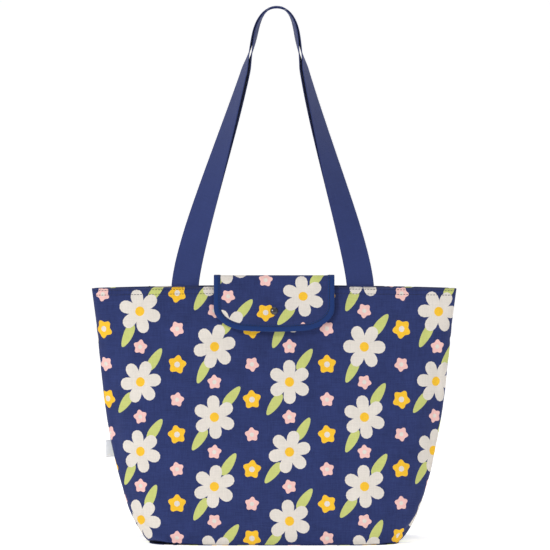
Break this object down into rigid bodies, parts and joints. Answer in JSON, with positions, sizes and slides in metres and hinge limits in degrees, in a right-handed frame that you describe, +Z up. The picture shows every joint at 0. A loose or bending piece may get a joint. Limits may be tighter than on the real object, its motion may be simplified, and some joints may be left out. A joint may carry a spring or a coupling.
{
  "type": "foldable tote bag",
  "caption": "Printed cloth tote bag with a boxed base, two long webbing handles and a short bound flap that snaps over its mouth.",
  "frame": {"origin": "middle of the base's underside, on the surface that the bag stands on", "axes": "+Z up, the front with the flap faces -Y, +X to the right as seen from the front"},
  "size_m": [0.43, 0.1426, 0.6298],
  "materials": {
    "printed_cloth": "matte plain weave, navy with a printed pattern of flowers",
    "hem_cloth": "matte plain weave, the same print turned inside",
    "lining_cloth": "matte plain weave, plain navy",
    "webbing": "ribbed navy webbing, matte with a slight sheen",
    "binding": "bright navy bias tape, satin weave",
    "label": "blank white satin ribbon",
    "snap_metal": "dark polished gunmetal plating"
  },
  "bodies": {
    "back_half": {"back_panel": "printed_cloth", "base_panel": "printed_cloth", "back_hem_facing": "hem_cloth", "left_seam_fin": "lining_cloth", "right_seam_fin": "lining_cloth", "care_label": "label", "back_handle_ends": "webbing", "flap_root": "printed_cloth"},
    "front_half": {"front_panel": "printed_cloth", "front_hem_facing": "hem_cloth", "front_handle_ends": "webbing", "snap_stud": "snap_metal", "snap_post": "snap_metal"},
    "flap_bridge": {"flap_neck": "printed_cloth", "flap_neck_binding": "binding"},
    "flap_front": {"flap_panel": "printed_cloth", "flap_lining": "lining_cloth", "flap_binding": "binding", "snap_cap": "snap_metal", "snap_socket": "snap_metal"},
    "front_loop": {"front_handle": "webbing"},
    "back_loop": {"back_handle": "webbing"}
  },
  "joints": [
    {"name": "collapse", "type": "slide", "parent": "back_half", "child": "front_half", "axis": [0, 1, 0], "range_m": [0, 0.005], "deforming": ["front_panel", "front_hem_facing"]},
    {"name": "flap_lift", "type": "hinge", "parent": "back_half", "child": "flap_bridge", "pos_m": [0, 0.01105, 0.303], "axis": [-1, 0, 0], "range_deg": [0, 200]},
    {"name": "flap_unfold", "type": "hinge", "parent": "flap_bridge", "child": "flap_front", "pos_m": [0, -0.012, 0.314], "axis": [-1, 0, 0], "range_deg": [0, 120]},
    {"name": "front_handle_swing", "type": "hinge", "parent": "front_half", "child": "front_loop", "pos_m": [0, -0.00715, 0.305], "axis": [1, 0, 0], "range_deg": [0, 140]},
    {"name": "back_handle_swing", "type": "hinge", "parent": "back_half", "child": "back_loop", "pos_m": [0, 0.00715, 0.305], "axis": [-1, 0, 0], "range_deg": [0, 140]}
  ]
}
